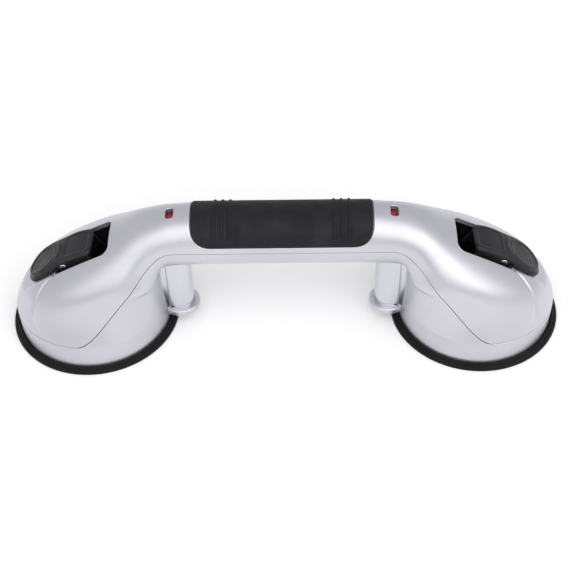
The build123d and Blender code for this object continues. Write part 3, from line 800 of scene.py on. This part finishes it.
def lower_back(points, normals):
    """The wall's inner face. Beside the posts, where the skin turns tightly, it lies straight across the
    bar."""
    x, _, z = points.T
    tight = ease(z, *TIGHT_LOW) * ease(-z, *TIGHT_HIGH) * ease(-np.abs(x), *TIGHT_X)
    across = np.column_stack([-np.sign(x), np.zeros((len(x), 2))])
    return points - unit(normals + (across - normals) * tight[:, None]) * WALL


lower = thicken(*lower, WALL, lambda p: np.full((len(p), 1), LIP), back=lower_back)
add_piece("lower_shell_skin", *lower, "root", CHROME, "chrome_plate", ["lower_shell"])

# ---------------------------------------------------------------- posts

POST_R, POST_FLAT, POST_BOTTOM, COLLAR_TOP = 7.6, 63.4, 7.5, 9.8
WEB_OUT, WEB_HALF = 68.0, 6.7
DRAIN_X, DRAIN_R, CHAMBER_R = 61.5, 0.7, 3.9
FILLET, CORNER, TUCK = 2.0, 0.8, 2.2


def post_plan(grow):
    """The post in plan, anticlockwise from the web's middle: a web, two flat sides and a round inner side."""
    half, web = POST_R + grow, WEB_HALF + grow
    plan = [(WEB_OUT, y) for y in np.linspace(0, web, 9)]
    plan += [(x, web) for x in np.linspace(WEB_OUT, POST_FLAT, 10)[1:]]
    plan += [(POST_FLAT, y) for y in np.linspace(web, half - CORNER, 4)[1:]]
    turns = np.linspace(0, pi / 2, 8)[1:]
    plan += [(POST_FLAT - CORNER * (1 - cos(t)), half - CORNER * (1 - sin(t))) for t in turns]
    plan += [(x, half) for x in np.linspace(POST_FLAT - CORNER, POST_X, 10)[1:]]
    plan += [(POST_X - half * sin(t), half * cos(t)) for t in np.linspace(0, pi / 2, 33)[1:]]
    return np.array(plan + [(x, -y) for x, y in plan[-2:0:-1]])


def housing_underside():
    """Height of the housing's underside near the post, as a function of places in plan."""
    alongs = np.linspace(stations[4], stations[8], 80)
    near = np.array([(along, turn) for along in alongs for turn in np.linspace(-pi, 0, 61)])
    points = plain_housing(near)
    points = points[(points[:, 2] < 58) & (points[:, 2] > 39)]
    points = points[(np.abs(points[:, 0] - POST_X) < 11) & (np.abs(points[:, 1]) < 12)]

    def terms(x, y):
        u, v = (x - POST_X) / 10, y / 10
        return np.stack([u**i * v ** (2 * j) for i in range(5) for j in range(4) if i + j < 6], axis=-1)

    weights = np.linalg.lstsq(terms(points[:, 0], points[:, 1]), points[:, 2], rcond=None)[0]
    return lambda x, y: terms(np.clip(x, POST_X - 11, POST_X + 7.5), y) @ weights


underside = housing_underside()
slim_plan = post_plan(0)
# The fillet fades out towards the web.
wide_plan = slim_plan + (post_plan(FILLET) - slim_plan) * ease(-slim_plan[:, :1], -POST_FLAT, -POST_FLAT + 3)


def post(spots):
    """Post with a fillet that spreads into the bar above it, tucked into the bar's wall at share 3.
    Parameters: height share and turn round its outline."""
    share, place = spots[:, 0], spots[:, 1] / (2 * pi) * len(slim_plan)
    before = np.floor(place).astype(int)
    part = (place - before)[:, None]
    first, second = before % len(slim_plan), (before + 1) % len(slim_plan)
    slim = slim_plan[first] * (1 - part) + slim_plan[second] * part
    wide = wide_plan[first] * (1 - part) + wide_plan[second] * part
    grow = np.clip(share - 1, 0, 1) * pi / 2
    plan = slim + (wide - slim) * (1 - np.cos(grow))[:, None]
    top = underside(*wide.T)
    z = POST_BOTTOM + (top - FILLET - POST_BOTTOM) * np.minimum(share, 1) + FILLET * np.sin(grow)
    return np.column_stack([plan, z + TUCK * np.maximum(share - 2, 0)])


def outside_drain(points):
    x, y, z = points.T
    away = np.hypot(x - DRAIN_X, z - COLLAR_TOP - 2 * DRAIN_R)
    return np.where(y < 0, away - DRAIN_R, FAR)


heights = [0, 0.02, 0.04, 0.06, 0.08, 0.1, 0.12, 0.14, 0.16, 0.2] + spread(0.25, 1, 0.05)
heights += [1 + k / 8 for k in range(9)] + [3]
plan_turns = [2 * pi * k / len(slim_plan) for k in range(len(slim_plan))]
post_grid = np.array([[(h, turn) for turn in plan_turns] for h in heights])
post_mesh = cut_skin(post, post_grid, True, (lambda p: outside_drain(p) - 0.08,), (0.002, 0.002))


def post_bore(points, normals):
    """The plunger's chamber, as the back of the post's skin."""
    away = unit(points[:, :2] - np.array((POST_X, 0)))
    return np.column_stack([np.array((PLUNGER_X, 0)) + away * CHAMBER_R, points[:, 2]])


post_mesh = thicken(*post_mesh, WALL, lambda p: np.full((len(p), 1), 0.06), back=post_bore)
add_pair("post", post_mesh, "root", CHROME_BRIGHT, "chrome_plate", "lower_shell")

# ---------------------------------------------------------------- grip pad

PAD_LIP, PAD_INNER = 0.9, 15.0
RIB_X, RIB_HALF, RIB_H, RIB_FOOT = (27, 31, 35), 0.8, 0.6, 68.5


def pad(spots):
    """Rubber pad round the bar, with three ribs near each end. Parameters: X and turn."""
    x, turn = spots[:, 0], spots[:, 1]
    nearest = np.min([np.abs(np.abs(x) - rib) for rib in RIB_X], axis=0)
    rib = np.sqrt(np.clip(1 - (nearest / RIB_HALF) ** 2, 0, 1))
    z = BAR_Z + PAD_R * np.sin(turn)
    r = PAD_R + RIB_H * rib * ease(z, RIB_FOOT, RIB_FOOT + 2.5)
    return np.stack([x, r * np.cos(turn), BAR_Z + r * np.sin(turn)], axis=1)


across = [0.0] + spread(1.2, 25.8, 1.2)
rib_steps = (-1.4, -1, -0.97, -0.88, -0.7, -0.4, 0, 0.4, 0.7, 0.88, 0.97, 1, 1.4)
for rib in RIB_X:
    across += [rib + d * RIB_HALF for d in rib_steps]
across += spread(37.2, PAD_HALF, 0.9) + [PAD_HALF]
across = [-x for x in across[:0:-1]] + across
pad_grid = np.array([[(x, turn) for turn in np.linspace(0.1, pi - 0.1, 81)] for x in across])
pad_mesh = cut_skin(pad, pad_grid, False, (lambda p: -outside_pad(p) - PAD_LIP,), (0.02, 0.002))


def pad_back(points, normals):
    """The pad's inner face, on the floor of its recess."""
    away = unit(points[:, 1:] - np.array((0, BAR_Z)))
    return np.column_stack([points[:, 0], away[:, 0] * PAD_INNER, BAR_Z + away[:, 1] * PAD_INNER])


pad_mesh = thicken(*pad_mesh, 0, lambda p: np.full((len(p), 1), PAD_LIP), steps=6, back=pad_back)
add_piece("grip_pad_cover", *pad_mesh, "root", GRIP, "grip_rubber", ["grip_pad"])

# ---------------------------------------------------------------- recess under the pad


def recess_floor(spots):
    x, turn = spots[:, 0], spots[:, 1]
    r = PAD_INNER - 0.1
    return np.stack([x, r * np.cos(turn), BAR_Z + r * np.sin(turn)], axis=1)


floor_grid = np.array([[(x, t) for t in np.linspace(0.06, pi - 0.06, 61)] for x in np.linspace(-49, 49, 50)])
recess = cut_skin(recess_floor, floor_grid, False, (lambda p: 1.2 - outside_pad(p),), (0.02, 0.002))
recess = thicken(*recess, 0.9, lambda p: np.full((len(p), 1), 0.05))
add_piece("grip_recess_floor", *recess, "root", CHROME, "chrome_plate", ["upper_shell"])

# ---------------------------------------------------------------- levers

LEVER_TOP = ((101.5, 57.2), (109, 55.2), (116.8, 51.4), (124, 47.2), (132, 41), (138.2, 34.8))
LEVER_UNDER = ((101.5, 53.4), (109, 51.6), (119.5, 46.6), (124.5, 41.9), (138.2, 31.6))
LEVER_SIDE = ((101.5, 9.6), (110, 10.1), (119.5, 9.6), (126, 10.0), (132, 10.2))
LEVER_TIP, LEVER_LIP = 139.2, 1.7
# X from which the plate's outline closes in a half oval, and X at which its top's curve ends.
TIP_FROM, LEVER_TOP_END = 129, 138.2

lever_top = cubic([x for x, _ in LEVER_TOP], [z for _, z in LEVER_TOP])
lever_under = cubic([x for x, _ in LEVER_UNDER], [z for _, z in LEVER_UNDER])
lever_side = cubic([x for x, _ in LEVER_SIDE], [y for _, y in LEVER_SIDE])


def lever_outline(points):
    """Distance inside the finger plate's outline, in plan."""
    x, y, _ = points.T
    half = lever_side(np.clip(x, 101.5, 132)).ravel()
    heel = rounded_box(x - 121.5, y, 20, half, 2.5)
    tip = np.hypot((x - TIP_FROM) / (LEVER_TIP - TIP_FROM), y / half) - 1
    tip = tip * (LEVER_TIP - TIP_FROM) * 0.98
    return np.where(x > TIP_FROM, np.minimum(-tip, FAR), np.minimum(-heel, half - np.abs(y)))


# The plate falls away by CROWN at a half width of 10, and has two hollows with a ridge between them.
CROWN, CROWN_POWER = 0.9, 2.6
HEEL_X, HEEL_HALF, HEEL_WIDE, HEEL_CORNER, HEEL_DEPTH = 109.7, 6.6, 7.2, 3.2, 0.55
HOLLOW_X, HOLLOW_HALF, HOLLOW_WIDE, HOLLOW_DEPTH, HOLLOW_DISH = 129.8, 7.2, 6.9, 0.75, 0.35
RIDGE_X, RIDGE_R, RIDGE_HALF, RIDGE_H = 127.5, 7.9, 0.8, 0.55


def finger_plate(spots):
    """The finger plate's top, with its two hollows and the ridge between them. Parameters: X and minus Y."""
    x, y = spots[:, 0], -spots[:, 1]
    z = lever_top(np.clip(x, 101.0, LEVER_TOP_END)).ravel()
    before, end = lever_top(np.array([LEVER_TOP_END - 0.1, LEVER_TOP_END])).ravel()
    z = z + np.maximum(x - LEVER_TOP_END, 0) * (end - before) / 0.1 * 1.3
    z = z - CROWN * (np.abs(y) / 10) ** CROWN_POWER
    heel = -rounded_box(x - HEEL_X, y, HEEL_HALF, HEEL_WIDE, HEEL_CORNER)
    z = z - HEEL_DEPTH * ease(heel, -0.5, 0.7)
    tip = 1 - np.hypot((x - HOLLOW_X) / HOLLOW_HALF, y / HOLLOW_WIDE)
    z = z - HOLLOW_DEPTH * ease(tip, -0.08, 0.16) - HOLLOW_DISH * ease(tip, 0.1, 1.0)
    arc = np.hypot(x - RIDGE_X, y * 0.95) - RIDGE_R
    ridge = RIDGE_H * np.exp(-((arc / RIDGE_HALF) ** 2))
    z = z + ridge * ease(-x, -122.5, -120.5) * ease(-np.abs(y), -8.6, -6.5)
    return np.stack([x, y, z], axis=1)


lever_rows = spread(101, 140, 0.42) + [140.0]
plate_grid = np.array([[(x, y) for y in np.linspace(-11, 11, 53)] for x in lever_rows])
plate = cut_skin(finger_plate, plate_grid, False, (lambda p: lever_outline(p) - LEVER_LIP,), (0.05, 0.05))


def plate_back(points, normals):
    """The plate's underside."""
    x = np.clip(points[:, 0], 101.5, LEVER_TOP_END)
    z = np.minimum(lever_under(x).ravel(), points[:, 2] - 1.2)
    return np.column_stack([points[:, 0], points[:, 1], z])


plate = thicken(*plate, 0, lambda p: np.full((len(p), 1), LEVER_LIP), steps=7, back=plate_back)
add_pair("finger_plate", plate, "lever", LEVER, "lever_plastic", "lever")

# ---------------------------------------------------------------- lever cheeks

CHEEK_IN, CHEEK_OUT, CHEEK_EDGE = 7.6, 9.5, 0.3
LEVER_OPEN, STUD_TRAVEL, CAM_Z, SLOT_R = 45.0, 4.0, 36.0, 1.6


def cam_point(share):
    """Centre of the cross pin as the lever sees it, when the stud is down by share of its travel."""
    turn = radians(LEVER_OPEN * share)
    x, z = CUP_X - HINGE_X, CAM_Z - STUD_TRAVEL * share - HINGE_Z
    return HINGE_X + x * cos(turn) + z * sin(turn), HINGE_Z - x * sin(turn) + z * cos(turn)


cam_path = np.array([cam_point(k / 16) for k in range(17)])


def hull_round(circles, steps=72):
    """Outline of the hull round circles given as X, Z and radius."""
    outline = []
    for k in range(steps):
        n = np.array((cos(2 * pi * k / steps), sin(2 * pi * k / steps)))
        x, z, r = max(circles, key=lambda one: one[0] * n[0] + one[1] * n[1] + one[2])
        outline.append((x + r * n[0], z + r * n[1]))
    return outline


def slot_round(path, r, steps=8):
    """Outline of a slot of half width r along a path."""
    along = unit(np.gradient(path, axis=0))
    side = np.column_stack([-along[:, 1], along[:, 0]]) * r
    outline = [tuple(p) for p in path - side]
    for end, start in ((path[-1], -side[-1]), (path[0], side[0])):
        if end is path[0]:
            outline += [tuple(p) for p in (path + side)[::-1]]
        turn = np.arctan2(start[1], start[0])
        for k in range(1, steps):
            t = turn + pi * k / steps
            outline.append((end[0] + r * cos(t), end[1] + r * sin(t)))
    return outline


def plate_with_holes(outline, inner_outline, holes, y_low, y_high, edge):
    """A flat plate between two Y levels, its outer edge chamfered from outline in to inner_outline, with
    holes."""
    points, faces = [], []

    def ring_at(shape, y):
        points.extend((x, y, z) for x, z in shape)
        return list(range(len(points) - len(shape), len(points)))

    def wall(first, second):
        for a, b, c, d in zip(first, first[1:] + first[:1], second[1:] + second[:1], second):
            faces.append([a, b, c, d])

    outer = [ring_at(inner_outline, y_low), ring_at(outline, y_low + edge)]
    outer += [ring_at(outline, y_high - edge), ring_at(inner_outline, y_high)]
    for first, second in zip(outer, outer[1:]):
        wall(second, first)
    bores = []
    for hole in holes:
        low, high = ring_at(hole, y_low), ring_at(hole, y_high)
        wall(low, high)
        bores.append((low, high))
    lows, highs = [outer[0]], [outer[-1]]
    for low, high in bores:
        lows.append(low)
        highs.append(high)
    for level, loops in enumerate((lows, highs)):
        flat = [i for loop in loops for i in loop]
        flat_loops = [[Vector((points[i][0], points[i][2], 0)) for i in loop] for loop in loops]
        for face in tessellate_polygon(flat_loops):
            a, b, c = (flat[i] for i in face)
            p, q, r = (np.array(points[i]) for i in (a, b, c))
            faces.append([a, b, c] if (np.cross(q - p, r - p)[1] > 0) == (level == 1) else [a, c, b])
    return np.array(points), faces, None


cheek_circles = ((HINGE_X, HINGE_Z, 3.6), (*cam_path[0], 3.3), (*cam_path[-1], 3.3), (103.5, 53.5, 1.0))
hinge_hole = [(HINGE_X + 1.8 * cos(t), HINGE_Z + 1.8 * sin(t)) for t in np.linspace(0, 2 * pi, 33)[:-1]]
for name, low_y in (("front", -CHEEK_OUT), ("back", CHEEK_IN)):
    cheek = plate_with_holes(
        hull_round(cheek_circles),
        hull_round([(x, z, r - CHEEK_EDGE) for x, z, r in cheek_circles]),
        (hinge_hole, slot_round(cam_path, SLOT_R)),
        low_y,
        low_y + CHEEK_OUT - CHEEK_IN,
        CHEEK_EDGE,
    )
    add_pair("cheek_" + name, cheek, "lever", LEVER, "lever_plastic", "lever")

# ---------------------------------------------------------------- suction cups

cup_rim = (
    (34.0, 3.2), (34.0, 12.7), (34.3, 13.0), (37.2, 13.0), (37.5, 12.7), (37.5, 3.1), (37.8, 2.5),
    (42.3, 2.4), (42.6, 2.6), (42.75, 2.9), (43.05, 3.2), (43.5, 3.3), (43.9, 3.15), (44.2, 2.8),
    (44.4, 2.55), (44.75, 2.5), (45.2, 2.4), (45.7, 2.1), (46.15, 1.6), (46.4, 1.05),
    (46.5, 0.55), (46.42, 0.2), (46.15, 0.0), (45.2, 0.0), (44.6, 0.35), (43.9, 0.35), (43.3, 0.0),
    (42.0, 0.0), (41.4, 0.35), (40.7, 0.35), (40.1, 0.0), (31.5, 0.0), (31.0, 0.1), (31.0, 3.0), (31.4, 3.35),
)
diaphragm = (
    (0, 7.46), (12.5, 7.46), (14, 7.4), (16, 7.15), (19, 6.5), (23, 5.3), (27, 4.1), (30, 3.45),
    (32, 3.2), (33.7, 3.15), (33.9, 2.9), (33.9, 0.5), (33.6, 0.25), (31.5, 0.12), (30, 0.3),
    (27, 0.95), (23, 2.1), (19, 3.35), (16, 4.15),
    (14, 4.42), (12.5, 4.5), (11.9, 4.8), (11.2, 4.8), (10.6, 4.5), (0, 4.5),
)
add_pair("cup_rim", lathe(cup_rim, CUP_X, 160), "root", CUP, "cup_rubber", "suction_cup")
middles = lathe(diaphragm, CUP_X, 128, False)
for piece in add_pair("cup_diaphragm", middles, "root", CUP, "cup_rubber", "suction_cup"):
    side = piece.name.split("_")[0]
    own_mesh(piece)

# ---------------------------------------------------------------- plunger springs

SPRING_R, WIRE_R, SPRING_FOOT, CHAMBER_TOP, SPRING_TURNS = 2.9, 0.35, 9.85, 40.0, 10


def coil():
    """The spring's wire, with a closed turn at each end."""
    steps, wire_steps, points, faces = 28 * SPRING_TURNS, 8, [], []
    reach = CHAMBER_TOP - WIRE_R - SPRING_FOOT
    for k in range(steps + 1):
        turn, share = 2 * pi * SPRING_TURNS * k / steps, k / steps
        rise = np.interp(share, (0, 0.09, 0.91, 1), (0, 0.022, 0.978, 1)) * reach
        out = np.array((cos(turn), sin(turn), 0))
        centre = np.array((PLUNGER_X, 0, SPRING_FOOT + rise)) + out * SPRING_R
        for m in range(wire_steps):
            t = 2 * pi * m / wire_steps
            points.append(centre + out * WIRE_R * cos(t) + np.array((0, 0, 1)) * WIRE_R * sin(t))
    for k in range(steps):
        for m in range(wire_steps):
            n = (m + 1) % wire_steps
            a, b = k * wire_steps, (k + 1) * wire_steps
            faces.append([a + m, b + m, b + n, a + n])
    faces.append(list(range(wire_steps)))
    faces.append([steps * wire_steps + m for m in reversed(range(wire_steps))])
    return np.array(points), faces, None


for piece in add_pair("spring_coil", coil(), "root", STEEL, "steel", "plunger_spring"):
    side = piece.name.split("_")[0]
    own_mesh(piece)

# ---------------------------------------------------------------- flag cradles and painted shade screens


def block(low, high, edge):
    """A box between two corners, every edge chamfered."""
    mesh = bmesh.new()
    bmesh.ops.create_cube(mesh, size=1)
    low, high = np.array(low), np.array(high)
    for vertex in mesh.verts:
        vertex.co = Vector((low + high) / 2 + np.array(vertex.co) * (high - low))
    bmesh.ops.bevel(mesh, geom=mesh.edges[:], offset=edge, segments=2, affect="EDGES", profile=0.5)
    mesh.verts.index_update()
    points, faces = np.array([v.co for v in mesh.verts]), [[v.index for v in f.verts] for f in mesh.faces]
    mesh.free()
    return points, faces, None


# The screens are dark plates of painted shade behind the window's ends, not parts of the object.
CRADLE_T, CRADLE_EDGE, CRADLE_HALF, SHADE_SCREEN_HALF = 1.4, 0.2, 2.4, 5
CRADLE_FOOT, CRADLE_TOP, SHADE_SCREEN_FOOT, SHADE_SCREEN_TOP = 46, 65.2, 64.8, 72.2

# Each cheek stands on the post's top beside the flag and ends in a dark screen behind the window. Both are
# dark as painted shade: the cheeks get the black frame plastic though they are chrome of the lower shell, and
# the screen is a dark plate of painted shade standing for the shadow at the window's far end.
for name, y in (("front", -5.8), ("back", 4.4)):
    far_y = y + CRADLE_T
    low, high = (WINDOW_X - CRADLE_HALF, y, CRADLE_FOOT), (WINDOW_X + CRADLE_HALF, far_y, CRADLE_TOP)
    # The cradle's dark frame plastic is painted shade; the real cheek is chrome like the lower shell.
    add_pair("cradle_" + name, block(low, high, CRADLE_EDGE), "root", FRAME, "chrome_plate", "lower_shell")
    low, high = (WINDOW_X - SHADE_SCREEN_HALF, y, SHADE_SCREEN_FOOT), (WINDOW_X + SHADE_SCREEN_HALF, far_y, SHADE_SCREEN_TOP)
    add_pair("screen_" + name, block(low, high, CRADLE_EDGE), "root", FRAME, "chrome_plate", "lower_shell")

# ---------------------------------------------------------------- screw seats under the bar

seat = [(1.6, 50.0), (1.6, 52.9), (5.1, 52.9), (5.2, 52.8), (5.2, 46.6)]
seat += [(3.4, 46.6), (SCREW_HOLE_R, 46.8), (SCREW_HOLE_R, 50.0)]
add_pair("screw_seat", lathe(seat, SCREW_X, 64), "root", CHROME, "chrome_plate", "lower_shell")

# ---------------------------------------------------------------- camera, light and floor

CAMERA_AT = Vector((12.21, -420.25, 471.34)) * MM
CAMERA_TO = Vector((2.16, 0, 17.38)) * MM
CAMERA_ROLL, CAMERA_LENS = radians(-1.61), 69.73

camera = bpy.data.objects.new("camera", bpy.data.cameras.new("camera"))
bpy.context.scene.collection.objects.link(camera)
forward = (CAMERA_TO - CAMERA_AT).normalized()
level = forward.cross(Vector((0, 0, 1))).normalized()
upright = level.cross(forward)
right_way = level * cos(CAMERA_ROLL) + upright * sin(CAMERA_ROLL)
up_way = upright * cos(CAMERA_ROLL) - level * sin(CAMERA_ROLL)
turned = Matrix((right_way, up_way, -forward)).transposed()
camera.matrix_world = Matrix.Translation(CAMERA_AT) @ turned.to_4x4()
camera.data.lens = CAMERA_LENS
camera.data.sensor_width = 36
camera.data.clip_start, camera.data.clip_end = 0.05, 20
bpy.context.scene.camera = camera


def softbox(name, place, aim, size, power, colour=(1, 1, 1)):
    light = bpy.data.lights.new(name, "AREA")
    light.shape, light.size, light.size_y = "RECTANGLE", *size
    light.energy, light.color = power, colour
    lamp = bpy.data.objects.new(name, light)
    bpy.context.scene.collection.objects.link(lamp)
    lamp.location = place
    lamp.rotation_euler = (Vector(aim) - Vector(place)).to_track_quat("-Z", "Y").to_euler()


softbox("key", (0.5, -1.35, 2.0), (0, 0, 0.03), (3.4, 2.6), 32.0)
softbox("left_fill", (-1.5, -1.1, 1.5), (0, 0, 0.03), (1.4, 1.4), 4.0)
softbox("right_fill", (1.7, -1.0, 1.5), (0, 0, 0.03), (1.4, 1.4), 4.0)

world = bpy.data.worlds.new("studio")
bpy.context.scene.world = world
world.use_nodes = True
world.node_tree.nodes["Background"].inputs["Color"].default_value = (0.97, 0.97, 1.0, 1)
world.node_tree.nodes["Background"].inputs["Strength"].default_value = 0.68
bpy.context.scene.view_settings.view_transform = "Standard"

glow = {"Emission_Color": (1, 1, 1, 1), "Emission_Strength": 0.12}
floor_shader = Shader("floor", (0.93, 0.93, 0.93), 0.8, **glow)
floor_shader.vary_colour(floor_shader.noise(3, 2), (0.925, 0.925, 0.925), (0.935, 0.935, 0.935))
floor_mesh = bpy.data.meshes.new("floor")
span = 6.0
corners = [(-span, -span, 0), (span, -span, 0), (span, span, 0), (-span, span, 0)]
floor_mesh.from_pydata(corners, [], [(0, 1, 2, 3)])
floor_mesh.materials.append(floor_shader.material)
floor = bpy.data.objects.new("floor", floor_mesh)
bpy.context.scene.collection.objects.link(floor)
